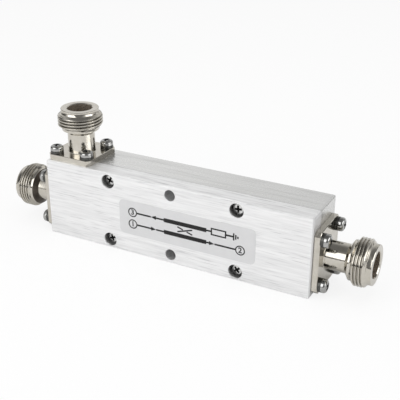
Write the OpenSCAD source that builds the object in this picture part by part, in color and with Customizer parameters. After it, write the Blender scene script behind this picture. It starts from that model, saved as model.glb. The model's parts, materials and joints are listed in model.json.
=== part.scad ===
// Directional coupler: a two-part milled aluminium block with coaxial jacks on both ends (input and output)
// and one on top (coupled port). Two bars run side by side in an air channel inside the block.
// Millimetres. The origin is on the base, under the middle of the block.
// +X runs from the input to the output, -Y is the front with the cover, +Z points up.

/* [Block] */
// Length of the block, end face to end face
body_l = 100; // [85:0.5:140]
// Height of the block
body_h = 28.4; // [27:0.1:40]
// Depth of the block, front face to back face
body_d = 19.7; // [18.5:0.1:30]
// Thickness of the front cover
cover_t = 6.5; // [5.5:0.1:8]
// Rounding of the four long corners, seen from the front
corner_r = 0.8; // [0.2:0.1:2]
// Chamfer along the outer edges of the front and back faces
edge_chamfer = 0.35; // [0.05:0.05:0.8]
// Width and depth of the fine groove where cover and housing meet
seam_w = 0.15; // [0.05:0.05:0.4]

/* [Channel] */
// Wall between the channel and each end face
end_wall = 5.5; // [5:0.1:8]
// Wall above and below the channel
side_wall = 6.2; // [5.8:0.1:8]
// Cover left in front of the channel
cover_floor = 3; // [2.5:0.1:4]
// Housing left behind the channel
back_wall = 3.5; // [2.5:0.1:5]
// Wall of the housing between the seam and the insulators' bores
seam_wall = 0.72; // [0.3:0.01:1.2]

/* [Cover screws and mounting holes] */
// Distance of the screw and hole rows from the top and bottom of the block
row_edge = 3.2; // [2.8:0.1:3.4]
// Distance of the cover screws from the end faces
cover_screw_inset = 25.8; // [21:0.1:36]
// Diameter of the counterbores
counterbore_d = 5; // [4.8:0.1:5.4]
// How far the counterbores go in
counterbore_depth = 3.2; // [2:0.1:3.5]
// Length of the cover screws in the housing
cover_screw_grip = 7; // [4:0.1:8]
// Diameter of the two mounting holes
mount_hole_d = 4; // [3:0.1:4.5]

/* [Screws and washers] */
// Diameter of the screw shanks
screw_d = 2.5; // [2:0.1:2.6]
// Diameter of the pan heads
head_d = 4.6; // [4:0.1:4.7]
// Height of the pan heads
head_h = 1.7; // [1.2:0.1:2.2]
// Length of the cross recess, tip to tip
recess_l = 2.6; // [2:0.1:3]
// Width of the cross recess
recess_w = 0.7; // [0.5:0.05:1]
// Depth of the cross recess
recess_depth = 0.9; // [0.5:0.05:1.1]
// Thickness of the split washers
washer_t = 1; // [0.4:0.05:1.2]
// Share of a pan head's height that is rounded
rounded_share = 0.55; // [0.3:0.05:0.8]
// Width of the slit in the split washers
washer_slit = 0.5; // [0.2:0.05:0.8]
// Length of the flange screws in the block
flange_screw_grip = 4.2; // [3:0.1:4.4]
// Spare depth of the tapped holes past the screw tips
tap_spare = 0.5; // [0.3:0.05:0.6]

/* [Flanges] */
// Height of the flanges on the two ends
end_flange_h = 21.6; // [18:0.1:23]
// Space from the base up to the end flanges
flange_foot_gap = 1.5; // [0.5:0.1:2]
// Space from the end flanges to the nearer of the front and back faces
flange_side_gap = 1.05; // [0.1:0.05:1.6]
// Screw centres to the top and bottom edges of the end flanges
end_screw_edge_h = 2.9; // [2.6:0.1:4]
// Screw centres to the front and back edges of the end flanges
end_screw_edge_d = 2.15; // [2:0.05:2.6]
// Side of the square flange on top
top_flange = 17.5; // [17:0.1:18.5]
// Space from the end face to the flange on top
top_flange_gap = 0.05; // [0:0.05:2]
// Screw centres to the edges of the flange on top
top_screw_edge = 2.5; // [2:0.05:2.6]
// Thickness of the flanges
flange_t = 2; // [1.5:0.1:3]
// Chamfer on the corners of the flanges
flange_chamfer = 1.3; // [0.5:0.1:2]

/* [Jack barrels] */
// Length of a jack, from its seat to its mouth
jack_l = 17.8; // [16:0.1:24]
// Diameter of the neck
neck_d = 9.5; // [8.4:0.1:11]
// Length of the slope from the neck out to the shoulder
slope_l = 1.3; // [0.5:0.1:2]
// Diameter of the smooth shoulder behind the thread
shoulder_d = 13.2; // [12:0.1:14.5]
// Length of the shoulder
shoulder_l = 1; // [0.5:0.1:2.5]
// Outer diameter of the coupling thread
thread_d = 15.7; // [14.5:0.02:17]
// Length of the thread
thread_l = 3.5; // [2.5:0.1:6]
// Length of the lead-in behind the thread
thread_lead = 0.8; // [0.2:0.05:1.2]
// Length of the cone in front of the thread
cone_l = 1.2; // [0.8:0.1:2.5]
// Diameter of the ring around the mouth
ring_d = 13.2; // [12.5:0.1:14.2]
// Length of that ring
ring_l = 1.1; // [0.5:0.1:2]
// Diameter of the mouth's bore
mouth_d = 8.7; // [7.6:0.05:9]
// Depth of the mouth's bore
mouth_depth = 8.6; // [7.5:0.1:9.5]
// Chamfer at the edge of the mouth
mouth_chamfer = 0.3; // [0.2:0.05:0.8]

/* [Insulators and contacts] */
// Diameter of the insulator in the jack
bead_d = 7; // [6.2:0.1:7.4]
// Diameter of the insulator where it passes through the wall of the block
bead_tail_d = 5; // [4:0.1:5.4]
// Lip of the jack that holds the insulator, across
lip_w = 0.4; // [0.2:0.05:0.8]
// Thickness of that lip
lip_t = 0.5; // [0.3:0.05:1]
// Diameter of the centre socket
socket_d = 3.04; // [2.8:0.02:3.4]
// Diameter of the hole in the centre socket
socket_bore_d = 1.68; // [1.4:0.02:2]
// Depth of the hole in the centre socket
socket_bore_depth = 5.5; // [4:0.1:7]
// Length of the slots in the centre socket
socket_slot_l = 4.5; // [3:0.1:5]
// Width of the slots in the centre socket
socket_slot_w = 0.3; // [0.2:0.02:0.5]
// Distance from the mouth in to the tip of the socket
socket_recess = 5; // [4.6:0.1:6]
// Thickness of insulator behind the socket
socket_seat = 1; // [0.6:0.1:2]
// Diameter of the rear pin
pin_d = 1.5; // [1.2:0.05:1.9]
// Length of the rear pin inside the channel
pin_out = 4; // [3.6:0.1:4.4]

/* [Lines] */
// Height of the main bar
main_h = 4.6; // [3.6:0.1:5]
// Thickness of both bars, front to back
bar_t = 3.2; // [2.6:0.1:4]
// Gap between the bars in the middle, where they lie closest
couple_gap = 1.2; // [0.5:0.05:1.8]
// Air above the coupled bar
line_air = 1.9; // [1.2:0.1:2.4]
// Air between the ends of the bars and the end walls of the channel
line_end_air = 1.5; // [1:0.1:2]
// How much each bar steps back from the other towards its ends
line_step = 0.7; // [0.2:0.05:1]
// Distance from the end faces to the steps in the bars
step_inset = 33; // [29:0.5:40]
// Distance from the end faces to the middle of the line supports
support_inset = 25.8; // [24:0.1:28]
// Thickness of the line supports
support_t = 4; // [2:0.1:5]

/* [Load] */
// Length of the load's flange
load_l = 13; // [12:0.1:14]
// Height of the load's flange
load_h = 5; // [4.6:0.1:5.4]
// Thickness of the load's flange
load_flange_t = 1.5; // [1:0.1:1.8]
// Side of the load's ceramic chip
chip_l = 4.4; // [3.6:0.1:4.6]
// Thickness of the chip
chip_t = 1.5; // [1.3:0.05:1.8]
// Length of the lid on the chip, in from the chip's far edge
lid_l = 3.3; // [2.4:0.1:3.6]
// Thickness of that lid
lid_t = 0.8; // [0.5:0.05:1]
// Thickness of the connecting tab
tab_t = 0.2; // [0.1:0.02:0.3]
// Width of the connecting tab
tab_w = 2; // [1:0.1:2.6]
// Overlap of the tab behind the coupled bar
tab_lap = 2; // [1:0.1:3]
// Distance of the load's screws from its ends
load_screw_edge = 2; // [1.8:0.1:2.2]
// Diameter of the load's screws
load_screw_d = 2; // [1.6:0.1:2.2]
// Diameter of the heads of the load's screws
load_head_d = 3; // [2.6:0.1:3.2]
// Height of the heads of the load's screws
load_head_h = 1; // [0.7:0.05:1.2]
// Length of the load's screws in the back wall
load_screw_grip = 2; // [1.5:0.1:2.3]
// Space from the load's flange to the end wall of the channel
load_end_gap = 0.8; // [0.4:0.1:1.5]

/* [Label] */
// Length of the label
label_l = 51; // [30:0.5:56]
// Height of the label
label_h = 12.7; // [8:0.1:14]
// Thickness of the label
label_t = 0.12; // [0.05:0.01:0.3]
// Rounding of the label's corners
label_r = 1.9; // [0.5:0.1:3]
// Middle of the label, along the length of the block
label_x = 5.65; // [-8:0.05:8]
// Middle of the label, below the middle of the block
label_drop = 0.55; // [-1:0.05:1.5]

/* [Clearances] */
// Clearance around a screw in a plain hole
screw_clear = 0.2; // [0.1:0.02:0.4]
// Clearance around a screw in its tapped hole
tap_clear = 0.03; // [0.01:0.01:0.06]
// Clearance around the insulators and contacts
bead_clear = 0.03; // [0.01:0.01:0.08]
// Clearance around the line supports and in their windows
support_clear = 0.08; // [0.03:0.01:0.15]

/* [Hidden] */

$fn = 64;
// Cuts run past the faces that they open by this much
past = 1;
// Shapes of one piece run into each other by this much
bond = 0.1;

// Faces of the block and of the channel
front_y = -body_d / 2;
back_y = body_d / 2;
seam_y = front_y + cover_t;
channel_front_y = front_y + cover_floor;
channel_back_y = back_y - back_wall;
channel_d = channel_back_y - channel_front_y;
channel_bottom = side_wall;
channel_top = body_h - side_wall;
channel_h = channel_top - channel_bottom;
channel_end = body_l / 2 - end_wall;

// All three jacks lie just behind the seam, with their bores wholly in the housing
bead_bore_d = bead_tail_d + 2 * bead_clear;
axis_y = seam_y + seam_wall + bead_bore_d / 2;
port_z = flange_foot_gap + end_flange_h / 2;
coupled_x = -body_l / 2 + top_flange_gap + top_flange / 2;

// Flange sizes and screw patterns, as [along the jack's own X, along its own Y]
axis_to_face = min(axis_y - front_y, back_y - axis_y);
end_flange = [end_flange_h, 2 * (axis_to_face - flange_side_gap)];
end_pitch = end_flange - 2 * [end_screw_edge_h, end_screw_edge_d];
coupled_flange = [top_flange, top_flange];
coupled_pitch = coupled_flange - 2 * [top_screw_edge, top_screw_edge];

// Levels along a jack, measured from its seat on the block
mouth_floor = jack_l - mouth_depth;
bead_l = mouth_floor - lip_t;
ring_foot = jack_l - ring_l;
thread_top = ring_foot - cone_l;
thread_foot = thread_top - thread_l;
shoulder_top = thread_foot - thread_lead;
shoulder_foot = shoulder_top - shoulder_l;
neck_top = shoulder_foot - slope_l;
socket_tip = jack_l - socket_recess;
washer_top = flange_t + washer_t;

// The two bars
main_bottom = port_z - main_h / 2;
main_top = port_z + main_h / 2;
coupled_bottom = main_top + couple_gap;
coupled_top = channel_top - line_air;
coupled_mid_z = (coupled_bottom + line_step + coupled_top) / 2;
line_end = channel_end - line_end_air;
bar_back_y = axis_y + bar_t / 2;
step_x = body_l / 2 - step_inset;
support_x = body_l / 2 - support_inset;
pin_hole_d = pin_d + 2 * bead_clear;

// The load stands on a boss of the back wall, so that its tab lies flat behind the coupled bar
load_x = channel_end - load_end_gap - load_l / 2;
tab_front_y = bar_back_y;
lid_front_y = tab_front_y + tab_t - lid_t;
chip_front_y = tab_front_y + tab_t;
load_front_y = chip_front_y + chip_t;
boss_y = load_front_y + load_flange_t;
load_screw_pitch = load_l - 2 * load_screw_edge;
lid_x = load_x + chip_l / 2 - lid_l;
// The coupled bar ends short of the load's lid
coupled_end = load_x - load_l / 2;

cover_screw_x = body_l / 2 - cover_screw_inset;
label_z = body_h / 2 - label_drop;

// Rectangle with round corners, centred
module round_rect(size, r) {
    square([size.x - 2 * r, size.y], center = true);
    square([size.x, size.y - 2 * r], center = true);
    for (x = [-1, 1], y = [-1, 1])
        translate([x * (size.x / 2 - r), y * (size.y / 2 - r)]) circle(r = r);
}

// Rectangle with cut corners, centred
module cut_rect(size, cut) {
    h = size / 2;
    polygon([
        [h.x - cut, h.y], [h.x, h.y - cut], [h.x, cut - h.y], [h.x - cut, -h.y],
        [cut - h.x, -h.y], [-h.x, cut - h.y], [-h.x, h.y - cut], [cut - h.x, h.y]
    ]);
}

// Lays a flat shape in the XZ plane and gives it depth, from the front y0 to the back y1
module slab(y0, y1) {
    translate([0, y1, 0]) rotate([90, 0, 0]) linear_extrude(y1 - y0) children();
}

// The whole block, front to back, before it is split into cover and housing
module block() {
    intersection() {
        slab(front_y, back_y)
            translate([0, body_h / 2]) round_rect([body_l, body_h], corner_r);
        linear_extrude(body_h) cut_rect([body_l, body_d], edge_chamfer);
        translate([-body_l / 2, 0, body_h / 2]) rotate([0, 90, 0])
            linear_extrude(body_l) cut_rect([body_h, body_d], edge_chamfer);
    }
}

// A box across the whole block, from the front y0 to the back y1, for splitting it
module layer(y0, y1) {
    translate([-body_l, y0, -body_h]) cube([2 * body_l, y1 - y0, 3 * body_h]);
}

// A frame around the block that cuts the seam's groove
module seam_groove() {
    slab(seam_y - seam_w, seam_y) difference() {
        translate([0, body_h / 2]) square([2 * body_l, 2 * body_h], center = true);
        translate([0, body_h / 2])
            round_rect([body_l - 2 * seam_w, body_h - 2 * seam_w], corner_r);
    }
}

module channel() {
    slab(channel_front_y, channel_back_y)
        translate([-channel_end, channel_bottom]) square([2 * channel_end, channel_h]);
}

// Places a shape at every corner of a pattern
module at_corners(pitch) {
    for (x = [-1, 1], y = [-1, 1])
        translate([x * pitch.x / 2, y * pitch.y / 2, 0]) children();
}

// Places a shape at a jack, whose own Z axis points out of the block
module at_input() {
    translate([-body_l / 2, axis_y, port_z]) rotate([0, -90, 0]) children();
}

module at_output() {
    translate([body_l / 2, axis_y, port_z]) rotate([0, 90, 0]) children();
}

module at_coupled() {
    translate([coupled_x, axis_y, body_h]) children();
}

// Places a shape at each cover screw, whose own Z axis points out of the front
module at_cover_screws() {
    for (x = [-1, 1], z = [row_edge, body_h - row_edge])
        translate([x * cover_screw_x, front_y, z]) rotate([90, 0, 0]) children();
}

module at_mount_holes() {
    for (z = [row_edge, body_h - row_edge])
        translate([0, front_y, z]) rotate([90, 0, 0]) children();
}

// Places a shape at each load screw, whose own Z axis points to the front
module at_load_screws() {
    for (x = [-1, 1])
        translate([load_x + x * load_screw_pitch / 2, load_front_y, coupled_mid_z])
            rotate([90, 0, 0]) children();
}

// Hole along Z, from z0 up to z1
module hole(d, z0, z1) {
    translate([0, 0, z0]) cylinder(d = d, h = z1 - z0);
}

// Holes of one jack in the block: the insulator's way in and the four tapped holes
module jack_holes(pitch, wall) {
    hole(bead_bore_d, -wall - past, past);
    at_corners(pitch)
        hole(screw_d + 2 * tap_clear, -flange_screw_grip - tap_spare, past);
}

module all_jack_holes() {
    at_input() jack_holes(end_pitch, end_wall);
    at_output() jack_holes(end_pitch, end_wall);
    at_coupled() jack_holes(coupled_pitch, side_wall);
}

// Screw with its seat at z = 0 and its shank below; the cross recess follows the size of the head
module pan_screw(shank_d, shank_l, pan_d, pan_h) {
    // The head has a straight rim below and a round edge above
    round_h = pan_h * rounded_share;
    rim_h = pan_h - round_h;
    wide = recess_w * pan_d / head_d;
    long = recess_l * pan_d / head_d;
    deep = recess_depth * pan_h / head_h;
    difference() {
        union() {
            rotate_extrude() {
                square([pan_d / 2, rim_h]);
                translate([0, rim_h]) square([pan_d / 2 - round_h, round_h]);
                translate([pan_d / 2 - round_h, rim_h]) intersection() {
                    circle(r = round_h);
                    square(round_h);
                }
            }
            hole(shank_d, -shank_l, bond);
        }
        translate([-long / 2, -wide / 2, pan_h - deep]) cube([long, wide, pan_h]);
        translate([-wide / 2, -long / 2, pan_h - deep]) cube([wide, long, pan_h]);
    }
}

// One jack's metal body: flange, neck, shoulder, thread and mouth in one turned piece
module shell(flange, pitch) {
    color("#b9b4a8") difference() {
        union() {
            linear_extrude(flange_t) cut_rect(flange, flange_chamfer);
            rotate_extrude() polygon([
                [0, 0], [neck_d / 2, 0],
                [neck_d / 2, neck_top], [shoulder_d / 2, shoulder_foot],
                [shoulder_d / 2, shoulder_top], [thread_d / 2, thread_foot],
                [thread_d / 2, thread_top], [ring_d / 2, ring_foot],
                [ring_d / 2, jack_l], [0, jack_l]
            ]);
        }
        hole(bead_d + 2 * bead_clear, -past, bead_l);
        hole(bead_d - 2 * lip_w, bead_l - past, mouth_floor + past);
        hole(mouth_d, mouth_floor, jack_l + past);
        translate([0, 0, jack_l - mouth_chamfer])
            cylinder(d1 = mouth_d, d2 = mouth_d + 4 * mouth_chamfer, h = 2 * mouth_chamfer);
        at_corners(pitch) hole(screw_d + 2 * screw_clear, -past, flange_t + past);
    }
}

// PTFE bead of one jack, with a tail through the wall of the block
module insulator(wall) {
    color("white") difference() {
        union() {
            hole(bead_d, 0, bead_l);
            hole(bead_tail_d, -wall, bond);
        }
        hole(pin_hole_d, -wall - past, bead_l);
        hole(socket_d + 2 * bead_clear, socket_seat, bead_l + past);
    }
}

// Centre contact of one jack: slotted socket in front, pin behind
module contact(wall) {
    color("#d8b65c") difference() {
        union() {
            hole(pin_d, -wall - pin_out, socket_seat + bond);
            hole(socket_d, socket_seat, socket_tip);
        }
        hole(socket_bore_d, socket_tip - socket_bore_depth, socket_tip + past);
        for (turn = [0, 90])
            rotate(turn) translate([-socket_d, -socket_slot_w / 2, socket_tip - socket_slot_l])
                cube([2 * socket_d, socket_slot_w, socket_slot_l + past]);
    }
}

module flange_screws(pitch) {
    color("#8f8f8c") at_corners(pitch) translate([0, 0, washer_top])
        pan_screw(screw_d, washer_top + flange_screw_grip, head_d, head_h);
}

module spring_washers(pitch) {
    inner_d = screw_d + 2 * screw_clear;
    color("#6d6d6a") at_corners(pitch) translate([0, 0, flange_t]) difference() {
        cylinder(d = head_d, h = washer_t);
        hole(inner_d, -past, washer_t + past);
        rotate(45) translate([0, -washer_slit / 2, -past])
            cube([head_d, washer_slit, washer_t + 2 * past]);
    }
}

module housing() {
    color("#dcdcdc") difference() {
        intersection() {
            block();
            layer(seam_y, back_y + past);
        }
        difference() {
            channel();
            // Boss that the load stands on
            translate([load_x - load_l / 2, boss_y, coupled_mid_z - load_h / 2])
                cube([load_l, channel_back_y - boss_y + past, load_h]);
        }
        all_jack_holes();
        at_cover_screws() hole(screw_d + 2 * tap_clear, -cover_t - cover_screw_grip - tap_spare, past);
        at_mount_holes() hole(mount_hole_d, -body_d - past, past);
        at_load_screws()
            hole(load_screw_d + 2 * tap_clear, -load_flange_t - load_screw_grip - tap_spare, past);
    }
}

module cover() {
    color("#e4e4e4") difference() {
        intersection() {
            block();
            layer(front_y - past, seam_y);
        }
        seam_groove();
        channel();
        all_jack_holes();
        at_cover_screws() {
            hole(counterbore_d, -counterbore_depth, past);
            hole(screw_d + 2 * screw_clear, -cover_t - past, past);
        }
        at_mount_holes() hole(mount_hole_d, -body_d - past, past);
    }
}

module cover_screws() {
    color("#8f8f8c") at_cover_screws() translate([0, 0, -counterbore_depth])
        pan_screw(screw_d, cover_t - counterbore_depth + cover_screw_grip, head_d, head_h);
}

module label() {
    color("#cfcfd2") slab(front_y - label_t, front_y)
        translate([label_x, label_z]) round_rect([label_l, label_h], label_r);
}

module input_shell() {
    at_input() shell(end_flange, end_pitch);
}

module input_insulator() {
    at_input() insulator(end_wall);
}

module input_contact() {
    at_input() contact(end_wall);
}

module input_screws() {
    at_input() flange_screws(end_pitch);
}

module input_spring_washers() {
    at_input() spring_washers(end_pitch);
}

module output_shell() {
    at_output() shell(end_flange, end_pitch);
}

module output_insulator() {
    at_output() insulator(end_wall);
}

module output_contact() {
    at_output() contact(end_wall);
}

module output_screws() {
    at_output() flange_screws(end_pitch);
}

module output_spring_washers() {
    at_output() spring_washers(end_pitch);
}

module coupled_shell() {
    at_coupled() shell(coupled_flange, coupled_pitch);
}

module coupled_insulator() {
    at_coupled() insulator(side_wall);
}

module coupled_contact() {
    at_coupled() contact(side_wall);
}

module coupled_screws() {
    at_coupled() flange_screws(coupled_pitch);
}

module coupled_spring_washers() {
    at_coupled() spring_washers(coupled_pitch);
}

// Outlines of the bars, seen from the front: each steps back from the other outside the middle part
module main_outline() {
    polygon([
        [-line_end, main_bottom], [line_end, main_bottom], [line_end, main_top - line_step],
        [step_x, main_top - line_step], [step_x, main_top], [-step_x, main_top],
        [-step_x, main_top - line_step], [-line_end, main_top - line_step]
    ]);
}

module coupled_outline() {
    polygon([
        [-line_end, coupled_top], [coupled_end, coupled_top],
        [coupled_end, coupled_bottom + line_step], [step_x, coupled_bottom + line_step],
        [step_x, coupled_bottom], [-step_x, coupled_bottom],
        [-step_x, coupled_bottom + line_step], [-line_end, coupled_bottom + line_step]
    ]);
}

module main_line() {
    color("#c9c7bf") difference() {
        slab(axis_y - bar_t / 2, bar_back_y) main_outline();
        at_input() hole(pin_hole_d, -end_wall - pin_out - tap_spare, past);
        at_output() hole(pin_hole_d, -end_wall - pin_out - tap_spare, past);
    }
}

module coupled_line() {
    color("#c9c7bf") difference() {
        slab(axis_y - bar_t / 2, bar_back_y) coupled_outline();
        at_coupled() hole(pin_hole_d, -side_wall - pin_out - tap_spare, past);
    }
}

// PTFE plate across the channel, with a window for each bar
module line_support(x) {
    gap = support_clear;
    color("white") difference() {
        translate([x - support_t / 2, channel_front_y + gap, channel_bottom + gap])
            cube([support_t, channel_d - 2 * gap, channel_h - 2 * gap]);
        for (z = [[main_bottom, main_top - line_step], [coupled_bottom + line_step, coupled_top]])
            translate([x - support_t, axis_y - bar_t / 2 - gap, z[0] - gap])
                cube([2 * support_t, bar_t + 2 * gap, z[1] - z[0] + 2 * gap]);
    }
}

module input_side_support() {
    line_support(-support_x);
}

module output_side_support() {
    line_support(support_x);
}

module load_flange() {
    color("#c79a6b") difference() {
        translate([load_x - load_l / 2, load_front_y, coupled_mid_z - load_h / 2])
            cube([load_l, load_flange_t, load_h]);
        at_load_screws() hole(load_screw_d + 2 * screw_clear, -load_flange_t - past, past);
    }
}

module load_chip() {
    color("#efe9df") translate([load_x - chip_l / 2, chip_front_y, coupled_mid_z - chip_l / 2])
        cube([chip_l, chip_t, chip_l]);
}

module load_tab() {
    // The tab reaches from the bar to the lid
    color("#d9d9d4") translate([coupled_end - tab_lap, tab_front_y, coupled_mid_z - tab_w / 2])
        cube([lid_x - coupled_end + tab_lap, tab_t, tab_w]);
}

module load_lid() {
    color("#f4f2ec") translate([lid_x, lid_front_y, coupled_mid_z - chip_l / 2])
        cube([lid_l, lid_t, chip_l]);
}

module load_screws() {
    color("#8f8f8c") at_load_screws()
        pan_screw(load_screw_d, load_flange_t + load_screw_grip, load_head_d, load_head_h);
}

housing();
cover();
cover_screws();
label();
input_shell();
input_insulator();
input_contact();
input_screws();
input_spring_washers();
output_shell();
output_insulator();
output_contact();
output_screws();
output_spring_washers();
coupled_shell();
coupled_insulator();
coupled_contact();
coupled_screws();
coupled_spring_washers();
main_line();
coupled_line();
input_side_support();
output_side_support();
load_flange();
load_chip();
load_lid();
load_tab();
load_screws();
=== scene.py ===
"""Looks of the directional coupler: finishes, threaded jacks, screws, washers, label, light and camera.

Lengths in the named values are millimetres, and MM turns them into the scene's metres. Angles are degrees.
The frame is the part's own: +X from input to output, -Y the front with the label, +Z up.
"""
import json
import math

import bmesh
import bpy
from mathutils import Matrix, Vector


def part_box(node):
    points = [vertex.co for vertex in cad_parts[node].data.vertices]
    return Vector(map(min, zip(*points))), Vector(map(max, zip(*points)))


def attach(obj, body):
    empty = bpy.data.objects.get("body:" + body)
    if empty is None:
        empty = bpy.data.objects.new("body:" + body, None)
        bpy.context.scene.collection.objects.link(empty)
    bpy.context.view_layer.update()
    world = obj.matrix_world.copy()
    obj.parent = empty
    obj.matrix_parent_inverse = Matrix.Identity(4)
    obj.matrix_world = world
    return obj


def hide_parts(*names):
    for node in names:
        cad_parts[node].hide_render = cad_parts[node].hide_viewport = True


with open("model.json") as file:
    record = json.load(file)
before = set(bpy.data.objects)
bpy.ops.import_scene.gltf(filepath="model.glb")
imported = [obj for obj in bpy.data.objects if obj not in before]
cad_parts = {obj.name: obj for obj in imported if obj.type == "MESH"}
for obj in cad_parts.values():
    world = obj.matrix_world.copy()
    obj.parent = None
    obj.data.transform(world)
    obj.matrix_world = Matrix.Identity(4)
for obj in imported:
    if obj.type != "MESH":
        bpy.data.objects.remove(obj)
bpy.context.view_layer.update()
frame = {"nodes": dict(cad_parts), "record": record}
nodes = frame["nodes"]
mounts = {mount["name"]: mount for mount in frame["record"]["mounts"]}

MM = 0.001
TURN = 2 * math.pi
SMOOTH_ANGLE = 35

# Jack, measured from its seat on the block
FLANGE_T = 2.0
FLANGE_CHAMFER = 1.3
FLANGE_EDGE = 0.12
NECK_R = 4.75
NECK_FILLET = 0.3
FILLET_STEPS = 5
SLOPE_L = 1.3
SHOULDER_R = 6.6
SHOULDER_L = 1.0
THREAD_LEAD = 0.8
THREAD_PITCH = 25.4 / 24
THREAD_DEPTH = 0.6
THREAD_START = 0.31
THREAD_CREST_SHARE = 0.2
THREAD_ROWS_A_TURN = 20
CONE_L = 1.2
CONE_BEND = 1.5
RING_R = 6.6
RING_L = 1.55
MOUTH_R = 4.35
MOUTH_CHAMFER = 0.3
MOUTH_DEPTH = 8.6
LIP_R = 3.1
LIP_T = 0.5
BEAD_BORE_R = 3.53
TURNED_EDGE = 0.12
TURN_STEPS = 128
SLACK = 0.01
GROOVE = "groove"

# Places of the finishes in a jack's list; the bore's and the input slope's hold painted shade
BORE_FINISH_AND_SHADE = 1
SLOPE_FINISH_AND_SHADE = 2

# Screws and washers; flange screws are placed by the distance of their centres from the flange's edges
END_SCREW_EDGE = (2.9, 2.15)
TOP_SCREW_EDGE = (2.5, 2.5)
SCREW_HOLE_R = 1.45
SCREW_HOLE_STEPS = 32
WASHER_T = 1.0
WASHER_SLIT = 0.5
WASHER_SLIT_PLACE = 45
WASHER_EDGE = 0.06
WASHER_STEPS = 44
HEAD_R = 2.3
HEAD_H = 1.7
HEAD_RIM = 0.75
HEAD_CROWN = 0.18
HEAD_EDGE = 0.08
HEAD_ARC_SHARE = 0.92
HEAD_ARC_STEPS = 8
CROWN_SHARES = (0.75, 0.5, 0.25)
HEAD_SMOOTH_ANGLE = 30
HEAD_TURNS = (20, 65, 40, 5)
SCREW_STEPS = 48
SHANK_R = 1.25
SHANK_TIP = 0.3
FLANGE_GRIP = 4.2
COVER_SCREW_INSET = 25.8
COVER_ROW_EDGE = 3.2
COVER_SEAT = 3.2
COVER_SHANK = 10.3
RECESS_L = 2.7
RECESS_W = 0.8
RECESS_DEPTH = 1.05
RECESS_FLOOR_SHARE = 0.45
RECESS_OVER = 0.3

# Label, with its print as places on the label measured from its middle
FILM_T = 0.1
PRINT_T = 0.015
LABEL_CORNER = 1.9
LABEL_CORNER_STEPS = 8
STROKE = 0.6
THIN_STROKE = 0.5
BAR_L = 16.0
BAR_W = 1.5
MAIN_LINE_Y = -2.2
COUPLED_LINE_Y = 2.2
PORT_X = 20.2
PORT_R = 1.75
PORT_RING = 0.4
PORT_STEPS = 48
NUMERAL_SIZE = 2.7
NUMERAL_WEIGHT = 0.07
FLOW_X = 11.0
ARROW_L = 2.0
ARROW_W = 1.5
LOAD_X = 9.6
LOAD_L = 5.6
LOAD_W = 1.7
GROUND_X = 17.6
GROUND_STEP = 0.75
GROUND_BARS = (2.6, 1.7, 0.8)
CROSS_X = 2.8
CROSS_Y = 0.9
CROSS_GAP = 0.7

# Grain of the finishes: the span that most noise falls in, the share of its finer steps, and how much
# larger clouds are than grains
NOISE_SPAN = (0.3, 0.7)
NOISE_ROUGHNESS = 0.6
CLOUD_SIZE = 12

# Brushed lines: their length and breadth in widths of a line, the spans of noise that show, and how much
FINE_LINES = (22, 1)
COARSE_LINES = (60, 2.2)
LINE_PATCHES = (50, 12)
FINE_SPAN = (0.3, 0.46)
COARSE_SPAN = (0.35, 0.65)
PATCH_SPAN = (0.35, 0.6)
COARSE_LEVEL = 0.7
PATCH_LEVELS = (0.2, 1.4)

# Block: when a face counts as an end and how dark the painted shade makes it, the rim of the holes that is
# as bright as the faces, and the painted shade of the two kinds of holes further in
END_FACING = 0.7
END_SHADE = 0.7
HOLE_RIM = 0.5
MOUNTING_HOLE_SHADE = (0.72, 0.72, 0.72)
SCREW_HOLE_SHADE = (0.28, 0.28, 0.28)

# Turned nickel: its colours, gloss and clouds, the size of its turning marks, and the shares of a
# groove's depth between which painted shade darkens it
NICKEL_MEAN = (0.6, 0.57, 0.51)
NICKEL_DARK = (0.54, 0.51, 0.445)
NICKEL_LIGHT = (0.63, 0.6, 0.545)
NICKEL_ROUGHNESS = (0.07, 0.17)
NICKEL_CLOUD = 3.0
MARK_L = 4.0
MARK_W = 0.12
MARK_DEPTH = 0.004
GROOVE_SHADE_SPAN = (0.1, 0.75)

# Camera, as it stood for the photo
CAMERA_AIM = (3.79, 4.34, 18.64)
CAMERA_DISTANCE = 278.5
CAMERA_AZIMUTH = 27.73
CAMERA_ELEVATION = 25.06
CAMERA_ROLL = 0.13
CAMERA_LENS = 73.14
CAMERA_SENSOR = 36
CAMERA_CLIP = (10, 50000)

# Studio: the floor with the shares of plain white that it shows to the camera and in reflections, the
# point that the lamps look at, the walls as the sine of their elevation and a level, and dark corners
# as azimuth, elevation, radius and depth
FLOOR_HALF = 6000
FLOOR_COLOR = (0.92, 0.92, 0.92)
FLOOR_ROUGHNESS = 0.9
FLOOR_SPECULAR = 0.1
FLOOR_GLOW = 0.84
FLOOR_GLOW_MIRRORED = 0.1
LAMP_AIM = (0, 0, 15)
WALLS = ((0.0, 0.12), (0.04, 0.12), (0.08, 0.9), (0.5, 0.88), (0.82, 0.34), (0.93, 0.2), (1.0, 0.2))
DARK_CORNERS = (
    (138, 24, 20, 0.82), (30, 14, 42, 0.75), (-80, 10, 34, 0.85), (-175, 26, 22, 0.2), (-12, 2, 14, 0.95),
)

# Sockets of a mix node for each kind of data: the two values and the result
MIX_SOCKETS = {"VECTOR": (4, 5, 1), "RGBA": (6, 7, 2)}

# Places that the frame gives
block_low, block_high = (Vector(corner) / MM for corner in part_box("housing"))
front_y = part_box("cover")[0][1] / MM
block_low.y = front_y
block_middle = (block_low + block_high) / 2
block_half = (block_high - block_low) / 2
mounting_hole_r = mounts["mounting_holes"]["dims"]["hole_r_mm"]
label_low, label_high = (Vector(corner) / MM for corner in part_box("label"))
label_middle = (label_low + label_high) / 2
label_size = (label_high.x - label_low.x, label_high.z - label_low.z)


# Scene and mesh helpers


def place_in_scene(name, data):
    """A new object of the scene."""
    obj = bpy.data.objects.new(name, data)
    bpy.context.scene.collection.objects.link(obj)
    return obj


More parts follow.
